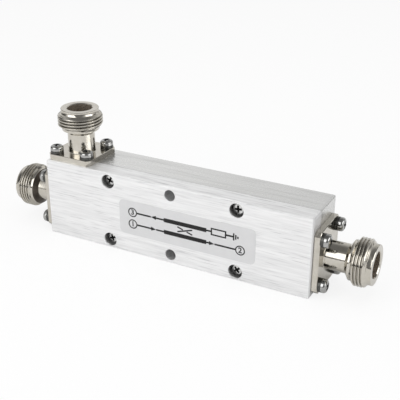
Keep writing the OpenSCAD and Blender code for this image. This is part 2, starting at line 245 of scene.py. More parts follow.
def add_piece(name, mesh, materials, slot, *replaced):
    """Puts a mesh into the scene as a piece of the object that stands for the replaced nodes."""
    piece = place_in_scene(name, mesh)
    for material in materials:
        mesh.materials.append(material)
    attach(piece, "root")
    if replaced:
        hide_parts(*replaced)


def to_mesh(bm, name):
    """Turns a bmesh into a mesh, smooth but for its sharp edges."""
    bmesh.ops.recalc_face_normals(bm, faces=bm.faces)
    mesh = bpy.data.meshes.new(name)
    bm.to_mesh(mesh)
    bm.free()
    mesh.shade_smooth()
    mesh.set_sharp_from_angle(angle=math.radians(SMOOTH_ANGLE))
    return mesh


def circle_points(radius, steps, centre=(0, 0)):
    """Points of a circle in the plane."""
    angles = [TURN * i / steps for i in range(steps)]
    return [(centre[0] + radius * math.cos(a), centre[1] + radius * math.sin(a)) for a in angles]


def loop(bm, points, z):
    """A ring of vertices at one level; points and level in millimetres."""
    return [bm.verts.new((x * MM, y * MM, z * MM)) for x, y in points]


def bridge(bm, rings):
    """Faces between each ring and the next, which have as many vertices."""
    count = len(rings[0])
    for lower, upper in zip(rings, rings[1:]):
        for i in range(count):
            j = (i + 1) % count
            bm.faces.new((lower[i], lower[j], upper[j], upper[i]))


def solid(bm, rings):
    """A closed body through rings, from its foot to its top."""
    bridge(bm, rings)
    bm.faces.new(reversed(rings[0]))
    bm.faces.new(rings[-1])


def prism(bm, outline, low, high):
    """A closed body between two levels over an outline."""
    solid(bm, [loop(bm, outline, level) for level in (low, high)])


def fill(bm, rings, up):
    """Faces of a flat region with holes, between an outer ring and inner ones."""
    edges = []
    for ring in rings:
        for i, vert in enumerate(ring):
            other = ring[(i + 1) % len(ring)]
            edges.append(bm.edges.get((vert, other)) or bm.edges.new((vert, other)))
    bmesh.ops.triangle_fill(bm, use_beauty=True, edges=edges, normal=(0, 0, 1 if up else -1))


def cut_rect(size, cut, inset=0.0):
    """Corners of a rectangle with cut corners, moved in by an inset."""
    x = size[0] / 2 - inset
    y = size[1] / 2 - inset
    c = cut - inset * (2 - math.sqrt(2))
    return [
        (x, c - y), (x, y - c), (x - c, y), (c - x, y), (-x, y - c), (-x, c - y), (c - x, -y), (x - c, -y),
    ]


def corner_points(pitch):
    """The four corners of a screw pattern."""
    return [(sx * pitch[0] / 2, sy * pitch[1] / 2) for sx in (-1, 1) for sy in (-1, 1)]


def lifted(x, y, z, turn=0.0):
    """A place in a piece's own frame, in millimetres, turned about its own axis by degrees."""
    return Matrix.Translation((x * MM, y * MM, z * MM)) @ Matrix.Rotation(math.radians(turn), 4, "Z")


def on_front(x, z):
    """A place on the block's front whose own Z points out of it."""
    return Matrix.Translation((x * MM, front_y * MM, z * MM)) @ Matrix.Rotation(TURN / 4, 4, "X")


# Shader helpers


def connect(tree, value, socket):
    """Feeds a socket from another node, or sets it to a number, a vector or a colour."""
    if isinstance(value, bpy.types.NodeSocket):
        tree.links.new(value, socket)
    elif socket.type == "RGBA":
        socket.default_value = (*value, 1)
    else:
        socket.default_value = value


def calculate(tree, operation, *values):
    """Result of a math operation on values that are numbers or come from other nodes."""
    node = tree.nodes.new("ShaderNodeMath")
    node.operation = operation
    for value, socket in zip(values, node.inputs):
        connect(tree, value, socket)
    return node.outputs[0]


def vector_node(tree, operation, *vectors):
    """A node that works on vectors, which are plain or come from other nodes."""
    node = tree.nodes.new("ShaderNodeVectorMath")
    node.operation = operation
    for vector, socket in zip(vectors, node.inputs):
        connect(tree, vector, socket)
    return node


def average(tree, first, second):
    """Mean of two values."""
    return calculate(tree, "MULTIPLY_ADD", first, 0.5, calculate(tree, "MULTIPLY", second, 0.5))


def axes(tree, vector):
    """The X, Y and Z of a vector."""
    node = tree.nodes.new("ShaderNodeSeparateXYZ")
    tree.links.new(vector, node.inputs[0])
    return node.outputs


def object_vector(tree):
    """Place on the object, in metres of the part's frame."""
    return tree.nodes.new("ShaderNodeTexCoord").outputs["Object"]


def noise(tree, vector, grain, detail=3.0):
    """Noise whose grains measure so many millimetres along X, Y and Z."""
    mapping = tree.nodes.new("ShaderNodeMapping")
    mapping.inputs["Scale"].default_value = [1 / (size * MM) for size in grain]
    tree.links.new(vector, mapping.inputs["Vector"])
    texture = tree.nodes.new("ShaderNodeTexNoise")
    texture.inputs["Scale"].default_value = 1.0
    texture.inputs["Detail"].default_value = detail
    texture.inputs["Roughness"].default_value = NOISE_ROUGHNESS
    tree.links.new(mapping.outputs[0], texture.inputs["Vector"])
    return texture.outputs["Fac"]


def spread(tree, value, low, high, span=NOISE_SPAN):
    """Stretches a span of values to the range from low to high."""
    node = tree.nodes.new("ShaderNodeMapRange")
    limits = {"From Min": span[0], "From Max": span[1], "To Min": low, "To Max": high}
    for name, limit in limits.items():
        node.inputs[name].default_value = limit
    tree.links.new(value, node.inputs["Value"])
    return node.outputs[0]


def mix(tree, kind, factor, first, second):
    """Vector or colour between two, which are plain or come from other nodes, by a factor of 0 to 1."""
    node = tree.nodes.new("ShaderNodeMix")
    node.data_type = kind
    low, high, result = MIX_SOCKETS[kind]
    tree.links.new(factor, node.inputs["Factor"])
    connect(tree, first, node.inputs[low])
    connect(tree, second, node.inputs[high])
    return node.outputs[result]


def new_material(name, color, metallic, roughness):
    """A material with its node tree and its Principled shader."""
    material = bpy.data.materials.new(name)
    material.use_nodes = True
    tree = material.node_tree
    shader = tree.nodes["Principled BSDF"]
    connect(tree, color, shader.inputs["Base Color"])
    connect(tree, metallic, shader.inputs["Metallic"])
    connect(tree, roughness, shader.inputs["Roughness"])
    return material, tree, shader


def finish(tree, shader, color, roughness, height, depth):
    """Gives a shader its colour, its roughness and a relief so many millimetres deep."""
    relief = tree.nodes.new("ShaderNodeBump")
    relief.inputs["Distance"].default_value = depth * MM
    tree.links.new(height, relief.inputs["Height"])
    connect(tree, color, shader.inputs["Base Color"])
    connect(tree, roughness, shader.inputs["Roughness"])
    connect(tree, relief.outputs[0], shader.inputs["Normal"])


def tune(material, values):
    """Sets more inputs of a material's shader, by their names."""
    shader = material.node_tree.nodes["Principled BSDF"]
    for name, value in values.items():
        shader.inputs[name].default_value = value


# Materials


def speckled(name, dark, light, metallic, roughness, grain, depth):
    """A material with a fine even grain in colour, gloss and relief; roughness is its range."""
    material, tree, shader = new_material(name, light, metallic, roughness[0])
    vector = object_vector(tree)
    fine = noise(tree, vector, [grain] * 3)
    cloudy = noise(tree, vector, [CLOUD_SIZE * grain] * 3, detail=2.0)
    both = average(tree, fine, cloudy)
    color = mix(tree, "RGBA", spread(tree, both, 0, 1), dark, light)
    finish(tree, shader, color, spread(tree, both, *roughness), fine, depth)
    return material


def lengthwise_vector(tree):
    """Place on the block, turned on its end faces so that lines there run upwards, and 1 on those faces,
    where shade is also painted.
    """
    coords = tree.nodes.new("ShaderNodeTexCoord").outputs
    place = axes(tree, coords["Object"])
    turned = tree.nodes.new("ShaderNodeCombineXYZ")
    for source, target in zip("ZYX", "XYZ"):
        tree.links.new(place[source], turned.inputs[target])
    facing = calculate(tree, "ABSOLUTE", axes(tree, coords["Normal"])["X"])
    on_end = calculate(tree, "GREATER_THAN", facing, END_FACING)
    return mix(tree, "VECTOR", on_end, coords["Object"], turned.outputs[0]), on_end


def block_distances(tree):
    """Distances from the middle of the block along X, Y and Z."""
    offset = vector_node(tree, "SUBTRACT", object_vector(tree), block_middle * MM)
    distance = vector_node(tree, "ABSOLUTE", offset.outputs["Vector"])
    return axes(tree, distance.outputs["Vector"])


def inside_block(tree, distances):
    """1 in the holes and the channel, where shade is painted, 0 on the outer faces of the block."""
    inside = 1.0
    for axis, limit in zip("XYZ", block_half):
        below = calculate(tree, "LESS_THAN", distances[axis], (limit - HOLE_RIM) * MM)
        inside = calculate(tree, "MULTIPLY", below, inside)
    return inside


def brushed_aluminium(name, dark, light, metallic, roughness, line, depth):
    """Milled and brushed aluminium, with lines along the block, and painted shade on its end faces and in
    its holes.
    """
    material, tree, shader = new_material(name, light, metallic, roughness[0])
    vector, on_end = lengthwise_vector(tree)

    def lines(shape, detail):
        length, breadth = (size * line for size in shape)
        return noise(tree, vector, (length, breadth, breadth), detail)

    fine = lines(FINE_LINES, 1.0)
    scratches = spread(tree, fine, 1, 0, FINE_SPAN)
    patches = spread(tree, lines(LINE_PATCHES, 1.0), *PATCH_LEVELS, PATCH_SPAN)
    worn = calculate(tree, "MULTIPLY", scratches, patches)
    streaks = average(tree, worn, spread(tree, lines(COARSE_LINES, 2.0), COARSE_LEVEL, 0, COARSE_SPAN))
    # Painted shade makes the end faces darker.
    tone = calculate(tree, "MAXIMUM", streaks, spread(tree, on_end, 0, END_SHADE, (0, 1)))
    distances = block_distances(tree)
    # Painted shade on the walls of the holes and the channel: lighter near the middle, where the mounting
    # holes are, darker towards the ends with the screw holes.
    away = spread(tree, distances["X"], 0, 1, (mounting_hole_r * MM, 2 * mounting_hole_r * MM))
    hole_shade = mix(tree, "RGBA", away, MOUNTING_HOLE_SHADE, SCREW_HOLE_SHADE)
    on_faces = mix(tree, "RGBA", tone, light, dark)
    color = mix(tree, "RGBA", inside_block(tree, distances), on_faces, hole_shade)
    finish(tree, shader, color, spread(tree, streaks, *roughness, (0, 1)), fine, depth)
    return material


def turned_nickel(name, along, groove_shade_level):
    """Bright nickel over fine turning marks that run around one axis of the part, with painted shade in the
    grooves.
    """
    material, tree, shader = new_material(name, NICKEL_MEAN, 1.0, sum(NICKEL_ROUGHNESS) / 2)
    vector = object_vector(tree)
    grain = [MARK_L] * 3
    grain[along] = MARK_W
    marks = noise(tree, vector, grain, detail=2.0)
    cloudy = noise(tree, vector, [NICKEL_CLOUD] * 3, detail=4.0)
    groove = tree.nodes.new("ShaderNodeAttribute")
    groove.attribute_name = GROOVE
    # Painted shade darkens the nickel in the thread's grooves, more on the top jack than on the end jacks.
    shade_in_grooves = spread(tree, groove.outputs["Fac"], 1, groove_shade_level, GROOVE_SHADE_SPAN)
    plain = mix(tree, "RGBA", spread(tree, cloudy, 0, 1), NICKEL_DARK, NICKEL_LIGHT)
    color = vector_node(tree, "SCALE", plain)
    tree.links.new(shade_in_grooves, color.inputs["Scale"])
    roughness = spread(tree, average(tree, marks, cloudy), *NICKEL_ROUGHNESS)
    finish(tree, shader, color.outputs["Vector"], roughness, marks, MARK_DEPTH)
    return material


housing_metal = brushed_aluminium(
    "milled_aluminium", dark=(0.66, 0.66, 0.65), light=(0.78, 0.78, 0.77), metallic=0.9,
    roughness=(0.26, 0.34), line=0.8, depth=0.004,
)
cover_metal = brushed_aluminium(
    "brushed_aluminium", dark=(0.6, 0.6, 0.605), light=(0.93, 0.93, 0.93), metallic=0.6,
    roughness=(0.34, 0.48), line=0.38, depth=0.012,
)
nickel_x = turned_nickel("nickel_end_jacks", along=0, groove_shade_level=0.65)
nickel_z = turned_nickel("nickel_top_jack", along=2, groove_shade_level=0.35)
# The bores' nickel: a rougher, browner turned finish, with painted shade darkening it deep in the mouth.
bore_nickel_and_shade = speckled(
    "nickel_bores_and_shade", dark=(0.32, 0.28, 0.23), light=(0.5, 0.44, 0.37), metallic=0.7,
    roughness=(0.2, 0.36), grain=0.15, depth=0.006,
)
# Painted shade: near-black nickel on the slope between neck and shoulder of the input jack.
slope_shade_nickel = speckled(
    "slope_shade_nickel", dark=(0.07, 0.06, 0.05), light=(0.15, 0.13, 0.11), metallic=0.8,
    roughness=(0.25, 0.4), grain=0.2, depth=0.006,
)
# Painted shade and painted light: the flange screws' steel is darker and the cover screws' steel lighter,
# lit and shaded copies of one steel.
screw_steel = speckled(
    "screw_steel", dark=(0.34, 0.34, 0.33), light=(0.5, 0.5, 0.49), metallic=1.0,
    roughness=(0.1, 0.2), grain=0.12, depth=0.004,
)
cover_steel = speckled(
    "cover_screw_steel", dark=(0.55, 0.55, 0.54), light=(0.7, 0.7, 0.69), metallic=1.0,
    roughness=(0.12, 0.24), grain=0.12, depth=0.004,
)
# Painted shade: near-black for the cross recesses of the screws.
recess_shade = speckled(
    "screw_recess_shade", dark=(0.03, 0.03, 0.03), light=(0.07, 0.07, 0.07), metallic=0.8,
    roughness=(0.4, 0.6), grain=0.1, depth=0.004,
)
washer_steel = speckled(
    "washer_steel", dark=(0.06, 0.06, 0.06), light=(0.13, 0.13, 0.12), metallic=1.0,
    roughness=(0.3, 0.45), grain=0.15, depth=0.006,
)
label_film = speckled(
    "label_film", dark=(0.69, 0.69, 0.695), light=(0.74, 0.74, 0.745), metallic=0.35,
    roughness=(0.36, 0.46), grain=0.25, depth=0.002,
)
print_ink = speckled(
    "print_ink", dark=(0.012, 0.012, 0.012), light=(0.025, 0.025, 0.025), metallic=0.0,
    roughness=(0.4, 0.55), grain=0.2, depth=0.001,
)
tune(print_ink, {"Specular IOR Level": 0.2})
white_insulator = speckled(
    "white_insulator", dark=(0.78, 0.78, 0.75), light=(0.86, 0.86, 0.83), metallic=0.0,
    roughness=(0.45, 0.6), grain=0.4, depth=0.004,
)
tune(white_insulator, {"Subsurface Weight": 0.2, "Subsurface Scale": 0.5 * MM})
gold = speckled(
    "contact_gold", dark=(0.72, 0.5, 0.2), light=(0.84, 0.62, 0.28), metallic=1.0,
    roughness=(0.16, 0.28), grain=0.15, depth=0.002,
)
silver = speckled(
    "line_silver", dark=(0.72, 0.71, 0.67), light=(0.86, 0.85, 0.82), metallic=1.0,
    roughness=(0.2, 0.34), grain=0.3, depth=0.003,
)
copper = speckled(
    "load_copper", dark=(0.6, 0.34, 0.22), light=(0.74, 0.45, 0.31), metallic=1.0,
    roughness=(0.22, 0.38), grain=0.3, depth=0.003,
)
ceramic = speckled(
    "load_ceramic", dark=(0.78, 0.76, 0.7), light=(0.87, 0.85, 0.79), metallic=0.0,
    roughness=(0.4, 0.6), grain=0.2, depth=0.004,
)

NODE_MATERIALS = {
    housing_metal: ("housing",),
    cover_metal: ("cover",),
    white_insulator: (
        "input_insulator", "output_insulator", "coupled_insulator",
        "input_side_support", "output_side_support",
    ),
    gold: ("input_contact", "output_contact", "coupled_contact"),
    silver: ("main_line", "coupled_line", "load_tab"),
    copper: ("load_flange",),
    ceramic: ("load_chip", "load_lid"),
    screw_steel: ("load_screws",),
}
for node_material, names in NODE_MATERIALS.items():
    for node_name in names:
        node_materials = nodes[node_name].data.materials
        node_materials.clear()
        node_materials.append(node_material)


# Jacks


class Jack:
    """One coaxial jack: where it sits, its flange, and the finishes of its body, bore and slope; painted
    shade darkens the bore and the input jack's slope.
    """

    def __init__(self, port, flange_axes, screw_edge, material, slope_material):
        low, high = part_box(port + "_shell")
        mount = mounts[port + "_thread"]
        self.port = port
        self.finishes = (material, bore_nickel_and_shade, slope_material)
        out = Vector(mount["axis"])
        side = Vector((0, 1, 0))
        across = side.cross(out)
        seat = Vector(mount["pos_m"])
        along = max(range(3), key=lambda i: abs(out[i]))
        seat[along] = low[along] if out[along] > 0 else high[along]
        rotation = Matrix((across, side, out)).transposed().to_4x4()
        self.place = Matrix.Translation(seat) @ rotation
        self.length = (high[along] - low[along]) / MM
        self.flange = [(high[i] - low[i]) / MM for i in map("XYZ".index, flange_axes)]
        self.pitch = [size - 2 * edge for size, edge in zip(self.flange, screw_edge)]
        middle = (Vector(mount["pos_m"]) - seat)[along] / MM * out[along]
        self.thread_r = mount["dims"]["r_mm"]
        self.thread_foot = middle - mount["dims"]["length_mm"] / 2
        self.shoulder_top = self.thread_foot - THREAD_LEAD
        self.shoulder_foot = self.shoulder_top - SHOULDER_L
        self.neck_top = self.shoulder_foot - SLOPE_L
        self.ring_foot = self.length - RING_L
        self.cone_foot = self.ring_foot - CONE_L
        self.mouth_floor = self.length - MOUTH_DEPTH


def blank_radius(jack, level):
    """Radius of the blank that the thread is cut into: a slope up, a straight part and a bent cone down."""
    rise = (jack.thread_foot - level) / THREAD_LEAD * (jack.thread_r - SHOULDER_R)
    share = max(level - jack.cone_foot, 0.0) / CONE_L
    fall = share ** CONE_BEND * (jack.thread_r - RING_R)
    return jack.thread_r - max(rise, fall)


def thread_radius(jack, level, turn_share):
    """Radius at a level and a share of a turn: a rounded groove that winds through the blank."""
    phase = ((level - THREAD_START) / THREAD_PITCH - turn_share) % 1.0
    flank = 1 - 2 * THREAD_CREST_SHARE
    slope = min(max((abs(2 * phase - 1) - THREAD_CREST_SHARE) / flank, 0.0), 1.0)
    groove = slope * slope * (3 - 2 * slope)
    return min(blank_radius(jack, level), jack.thread_r - THREAD_DEPTH * groove)


def neck_profile(jack):
    """Radii and levels of the turned body from the flange to the thread."""
    quarter = [TURN / 4 * i / FILLET_STEPS for i in range(FILLET_STEPS + 1)]
    return [
        *(
            (NECK_R + NECK_FILLET * (1 - math.sin(a)), FLANGE_T + NECK_FILLET * (1 - math.cos(a)))
            for a in quarter
        ),
        (NECK_R, jack.neck_top), (SHOULDER_R, jack.shoulder_foot), (SHOULDER_R, jack.shoulder_top),
    ]


def mouth_profile(jack):
    """Radii and levels of the turned body from the thread to the mouth and down the bore."""
    top = jack.length
    floor = jack.mouth_floor
    return [
        (RING_R, jack.ring_foot), (RING_R, top - TURNED_EDGE), (RING_R - TURNED_EDGE, top),
        (MOUTH_R + MOUTH_CHAMFER, top), (MOUTH_R, top - MOUTH_CHAMFER), (MOUTH_R, floor),
        (LIP_R, floor), (LIP_R, floor - LIP_T), (BEAD_BORE_R, floor - LIP_T), (BEAD_BORE_R, 0),
    ]


def thread_rings(bm, jack, groove):
    """Rings of the thread, with each vertex's share of the groove's depth in a layer that sets the painted
    shade in the grooves.
    """
    directions = circle_points(1, TURN_STEPS)
    threaded = jack.ring_foot - jack.shoulder_top
    rows = round(threaded / THREAD_PITCH * THREAD_ROWS_A_TURN)
    rings = []
    for row in range(1, rows):
        level = jack.shoulder_top + threaded * row / rows
        radii = [thread_radius(jack, level, i / TURN_STEPS) for i in range(TURN_STEPS)]
        ring = loop(bm, [(r * x, r * y) for r, (x, y) in zip(radii, directions)], level)
        for vert, radius in zip(ring, radii):
            vert[groove] = (blank_radius(jack, level) - radius) / THREAD_DEPTH
        rings.append(ring)
    return rings


def add_flange(bm, jack, neck_foot, bore_foot):
    """Flange with cut corners and screw holes, around the foot of the neck and that of the bore."""
    e = FLANGE_EDGE
    outline = [
        loop(bm, cut_rect(jack.flange, FLANGE_CHAMFER, inset), level)
        for inset, level in ((e, 0), (0, e), (0, FLANGE_T - e), (e, FLANGE_T))
    ]
    bridge(bm, outline)
    holes = [circle_points(SCREW_HOLE_R, SCREW_HOLE_STEPS, centre) for centre in corner_points(jack.pitch)]
    lower_holes = [loop(bm, points, 0) for points in holes]
    upper_holes = [loop(bm, points, FLANGE_T) for points in holes]
    for lower, upper in zip(lower_holes, upper_holes):
        bridge(bm, [lower, upper])
    fill(bm, [outline[-1], neck_foot, *upper_holes], True)
    fill(bm, [outline[0], bore_foot, *lower_holes], False)


def shell_mesh(jack):
    """Flange, neck, shoulder, thread, cone and mouth of one jack as a single closed mesh."""
    bm = bmesh.new()
    groove = bm.verts.layers.float.new(GROOVE)

    def round_rings(profile):
        return [loop(bm, circle_points(radius, TURN_STEPS), level) for radius, level in profile]

    rings = round_rings(neck_profile(jack))
    rings += thread_rings(bm, jack, groove)
    rings += round_rings(mouth_profile(jack))
    bridge(bm, rings)
    add_flange(bm, jack, rings[0], rings[-1])
    bm.transform(jack.place)
    mesh = to_mesh(bm, jack.port + "_shell_mesh")
    finish_turned(jack, mesh)
    return mesh


def finish_turned(jack, mesh):
    """Leaves no sharp edge on the thread, and gives the bore and the slope their finishes, which hold
    painted shade in the bore and on the input jack's slope.
    """
    back = jack.place.inverted()
    places = [back @ vert.co / MM for vert in mesh.vertices]
    threaded = [
        place.xy.length > MOUTH_R + MOUTH_CHAMFER and jack.shoulder_top < place.z < jack.ring_foot
        for place in places
    ]
    in_bore = [place.xy.length < MOUTH_R + SLACK and place.z > jack.mouth_floor - SLACK for place in places]
    on_slope = [
        place.xy.length > NECK_R - SLACK and -SLACK < place.z - jack.neck_top < SLOPE_L + SLACK
        for place in places
    ]
    for edge in mesh.edges:
        if all(threaded[v] for v in edge.vertices):
            edge.use_edge_sharp = False
    for face in mesh.polygons:
        if all(in_bore[v] for v in face.vertices):
            face.material_index = BORE_FINISH_AND_SHADE
        elif all(on_slope[v] for v in face.vertices):
            face.material_index = SLOPE_FINISH_AND_SHADE


# Screws and washers


def recess_cutter():
    """A cross that narrows towards its floor, for cutting the drive into a head."""
    bm = bmesh.new()

    def cross(scale, z):
        a = RECESS_L / 2 * scale
        b = RECESS_W / 2 * scale
        arm = [(a, -b), (a, b), (b, b)]
        corners = []
        for _ in range(4):
            corners += arm
            arm = [(-y, x) for x, y in arm]
        return loop(bm, corners, z)

    top = HEAD_H + HEAD_CROWN
    rise = (1 - RECESS_FLOOR_SHARE) / RECESS_DEPTH
    floor = cross(RECESS_FLOOR_SHARE, top - RECESS_DEPTH)
    lid = cross(1 + rise * RECESS_OVER, top + RECESS_OVER)
    solid(bm, [floor, lid])
    return to_mesh(bm, "recess_cutter")


def screw_profile(shank):
    """Radii and levels of a pan-head screw with its seat at level 0, from the tip to the crown."""
    profile = [
        (SHANK_R - SHANK_TIP, -shank), (SHANK_R, SHANK_TIP - shank), (SHANK_R, 0),
        (HEAD_R - HEAD_EDGE, 0), (HEAD_R, HEAD_EDGE),
    ]
    arc = HEAD_H - HEAD_RIM
    for i in range(HEAD_ARC_STEPS + 1):
        a = TURN / 4 * i / HEAD_ARC_STEPS * HEAD_ARC_SHARE
        profile.append((HEAD_R - arc * (1 - math.cos(a)), HEAD_RIM + arc * math.sin(a)))
    rim_r, rim_z = profile[-1]
    for share in CROWN_SHARES:
        profile.append((rim_r * share, rim_z + HEAD_CROWN * (1 - share * share)))
    return profile


def carved(name, mesh, cutter_mesh):
    """A mesh with another one cut out of it."""
    whole = place_in_scene(name, mesh)
    cutter = place_in_scene(name + "_cutter", cutter_mesh)
    cut = whole.modifiers.new("recess", "BOOLEAN")
    cut.operation = "DIFFERENCE"
    cut.solver = "EXACT"
    cut.object = cutter
    depsgraph = bpy.context.evaluated_depsgraph_get()
    result = bpy.data.meshes.new_from_object(whole.evaluated_get(depsgraph))
    for obj in (whole, cutter):
        bpy.data.objects.remove(obj)
    return result


def pan_screw_mesh(name, shank):
    """A pan-head screw: crowned head, tapered cross recess with painted shade of its own, chamfered shank.
    """
    bm = bmesh.new()
    solid(bm, [loop(bm, circle_points(radius, SCREW_STEPS), z) for radius, z in screw_profile(shank)])
    mesh = carved(name, to_mesh(bm, name), recess_cutter())
    mesh.set_sharp_from_angle(angle=math.radians(HEAD_SMOOTH_ANGLE))
    # The faces in the recess get the painted shade.
    for face in mesh.polygons:
        centre = face.center / MM
        under_top = 0 < centre.z < HEAD_H - HEAD_EDGE
        face.material_index = int(under_top and centre.xy.length < RECESS_L / 2)
    return mesh


def spring_washer_mesh():
    """A split washer lying on z = 0, with broken edges."""
    bm = bmesh.new()
    inner = SCREW_HOLE_R
    e = WASHER_EDGE
    section = [
        (inner + e, 0), (HEAD_R - e, 0), (HEAD_R, e), (HEAD_R, WASHER_T - e),
        (HEAD_R - e, WASHER_T), (inner + e, WASHER_T), (inner, WASHER_T - e), (inner, e),
    ]
    half_slit = WASHER_SLIT / 2 / HEAD_R
    start = math.radians(WASHER_SLIT_PLACE) + half_slit
    sweep = TURN - 2 * half_slit
    rings = []
    for i in range(WASHER_STEPS + 1):
        a = start + sweep * i / WASHER_STEPS
        points = [(r * math.cos(a), r * math.sin(a), z) for r, z in section]
        rings.append([bm.verts.new((x * MM, y * MM, z * MM)) for x, y, z in points])
    solid(bm, rings)
    return to_mesh(bm, "spring_washer")


def copies(name, mesh, places):
    """One mesh with a copy of another at each place."""
    bm = bmesh.new()
    for place in places:
        copy = mesh.copy()
        copy.transform(place)
        bm.from_mesh(copy)
        bpy.data.meshes.remove(copy)
    result = bpy.data.meshes.new(name)
    bm.to_mesh(result)
    bm.free()
    return result


jacks = [
    # The input jack's slope gets painted shade.
    Jack("input", "ZY", END_SCREW_EDGE, nickel_x, slope_material=slope_shade_nickel),
    Jack("output", "ZY", END_SCREW_EDGE, nickel_x, slope_material=nickel_x),
    Jack("coupled", "XY", TOP_SCREW_EDGE, nickel_z, slope_material=nickel_z),
]
flange_screw = pan_screw_mesh("flange_screw", FLANGE_T + WASHER_T + FLANGE_GRIP)
cover_screw = pan_screw_mesh("cover_screw", COVER_SHANK)
spring_washer = spring_washer_mesh()
for jack in jacks:
    shell = shell_mesh(jack)
    add_piece(jack.port + "_jack", shell, jack.finishes, "nickel_plate", jack.port + "_shell")
    corners = corner_points(jack.pitch)
    screw_places = [
        jack.place @ lifted(x, y, FLANGE_T + WASHER_T, turn) for (x, y), turn in zip(corners, HEAD_TURNS)
    ]
    screws = copies(jack.port + "_screw_set", flange_screw, screw_places)
    add_piece(
        jack.port + "_pan_screws", screws, [screw_steel, recess_shade], "screw_steel", jack.port + "_screws"
    )
    washer_places = [jack.place @ lifted(x, y, FLANGE_T) for x, y in corners]
    washers = copies(jack.port + "_washer_set", spring_washer, washer_places)
    add_piece(
        jack.port + "_split_washers", washers, [washer_steel], "washer_steel", jack.port + "_spring_washers"
    )

cover_x = block_high.x - COVER_SCREW_INSET
cover_rows = (COVER_ROW_EDGE, block_high.z - COVER_ROW_EDGE)
cover_corners = [(x, z) for x in (-cover_x, cover_x) for z in cover_rows]
cover_places = [
    on_front(0, 0) @ lifted(x, z, -COVER_SEAT, turn) for (x, z), turn in zip(cover_corners, HEAD_TURNS)
]
cover_set = copies("cover_screw_set", cover_screw, cover_places)
add_piece("cover_pan_screws", cover_set, [cover_steel, recess_shade], "screw_steel", "cover_screws")


# Label


def round_rect(size, corner):
    """Outline of a rectangle with round corners."""
    points = []
    for turn, (sx, sy) in enumerate(((1, 1), (-1, 1), (-1, -1), (1, -1))):
        for step in range(LABEL_CORNER_STEPS + 1):
            a = TURN / 4 * (turn + step / LABEL_CORNER_STEPS)
            x = sx * (size[0] / 2 - corner) + corner * math.cos(a)
            y = sy * (size[1] / 2 - corner) + corner * math.sin(a)
            points.append((x, y))
    return points


class Print:
    """Ink on the label, drawn with strokes, arrows, rings and numerals."""

    def __init__(self):
        self.bm = bmesh.new()

    def fill(self, outline):
        """A field of ink."""
        prism(self.bm, outline, FILM_T, FILM_T + PRINT_T)

    def stroke(self, start, end, width=STROKE):
        """A straight line."""
        start = Vector(start)
        end = Vector(end)
        side = (end - start).normalized().orthogonal() * width / 2
        self.fill([tuple(point) for point in (start - side, end - side, end + side, start + side)])

    def arrow(self, tip, toward):
        """A filled head that points along X, forwards for 1 and backwards for -1."""
        x, y = tip
        back = x - toward * ARROW_L
        self.fill([(x, y), (back, y + toward * ARROW_W / 2), (back, y - toward * ARROW_W / 2)])

    def ring(self, centre):
        """A circle around a port's number."""
        outer = circle_points(PORT_R, PORT_STEPS, centre)
        inner = circle_points(PORT_R - PORT_RING, PORT_STEPS, centre)
        top = FILM_T + PRINT_T
        section = ((inner, FILM_T), (outer, FILM_T), (outer, top), (inner, top))
        rings = [loop(self.bm, points, level) for points, level in section]
        bridge(self.bm, rings + rings[:1])

    def numeral(self, digit, centre):
        """One digit."""
        text = bpy.data.curves.new("numeral", "FONT")
        text.body = digit
        text.size = NUMERAL_SIZE * MM
        text.offset = NUMERAL_WEIGHT * MM
        text.align_x = "CENTER"
        text.align_y = "CENTER"
        text.extrude = PRINT_T * MM / 2
        shown = place_in_scene("numeral", text)
        depsgraph = bpy.context.evaluated_depsgraph_get()
        mesh = bpy.data.meshes.new_from_object(shown.evaluated_get(depsgraph))
        mesh.transform(lifted(*centre, FILM_T + PRINT_T / 2))
        self.bm.from_mesh(mesh)
        bpy.data.objects.remove(shown)
        bpy.data.curves.remove(text)
        bpy.data.meshes.remove(mesh)


def label_print():
    """The part's circuit: a main line between two ports, and a coupled line from a third one to a load."""
    ink = Print()
    ports = (("1", -PORT_X, MAIN_LINE_Y), ("2", PORT_X, MAIN_LINE_Y), ("3", -PORT_X, COUPLED_LINE_Y))
    for digit, x, y in ports:
        ink.ring((x, y))
        ink.numeral(digit, (x, y))
    line_end = PORT_X - PORT_R
    bar_end = BAR_L / 2
    leads = ((-line_end, -FLOW_X - ARROW_L), (-FLOW_X, -bar_end))
    right_leads = {
        MAIN_LINE_Y: ((bar_end, FLOW_X - ARROW_L), (FLOW_X, line_end)),
        COUPLED_LINE_Y: ((bar_end, LOAD_X), (LOAD_X + LOAD_L, GROUND_X)),
    }
    for y, more in right_leads.items():
        ink.stroke((-bar_end, y), (bar_end, y), BAR_W)
        for start, end in leads + more:
            ink.stroke((start, y), (end, y))
    for tip in (-FLOW_X, FLOW_X):
        ink.arrow((tip, MAIN_LINE_Y), 1)
    ink.arrow((-FLOW_X - ARROW_L, COUPLED_LINE_Y), -1)

    inset = THIN_STROKE / 2
    for side in (-1, 1):
        y = COUPLED_LINE_Y + side * (LOAD_W / 2 + inset)
        ink.stroke((LOAD_X, y), (LOAD_X + LOAD_L, y), THIN_STROKE)
        x = LOAD_X + LOAD_L / 2 + side * (LOAD_L / 2 - inset)
        ink.stroke((x, COUPLED_LINE_Y - LOAD_W / 2), (x, COUPLED_LINE_Y + LOAD_W / 2), THIN_STROKE)
    for step, bar in enumerate(GROUND_BARS):
        x = GROUND_X + inset + step * GROUND_STEP
        ink.stroke((x, COUPLED_LINE_Y - bar / 2), (x, COUPLED_LINE_Y + bar / 2), THIN_STROKE)

    ink.stroke((-CROSS_X, -CROSS_Y), (CROSS_X, CROSS_Y), THIN_STROKE)
    open_y = CROSS_GAP * CROSS_Y / CROSS_X
    for side in (-1, 1):
        ink.stroke((side * CROSS_X, -side * CROSS_Y), (side * CROSS_GAP, -side * open_y), THIN_STROKE)
    return ink.bm


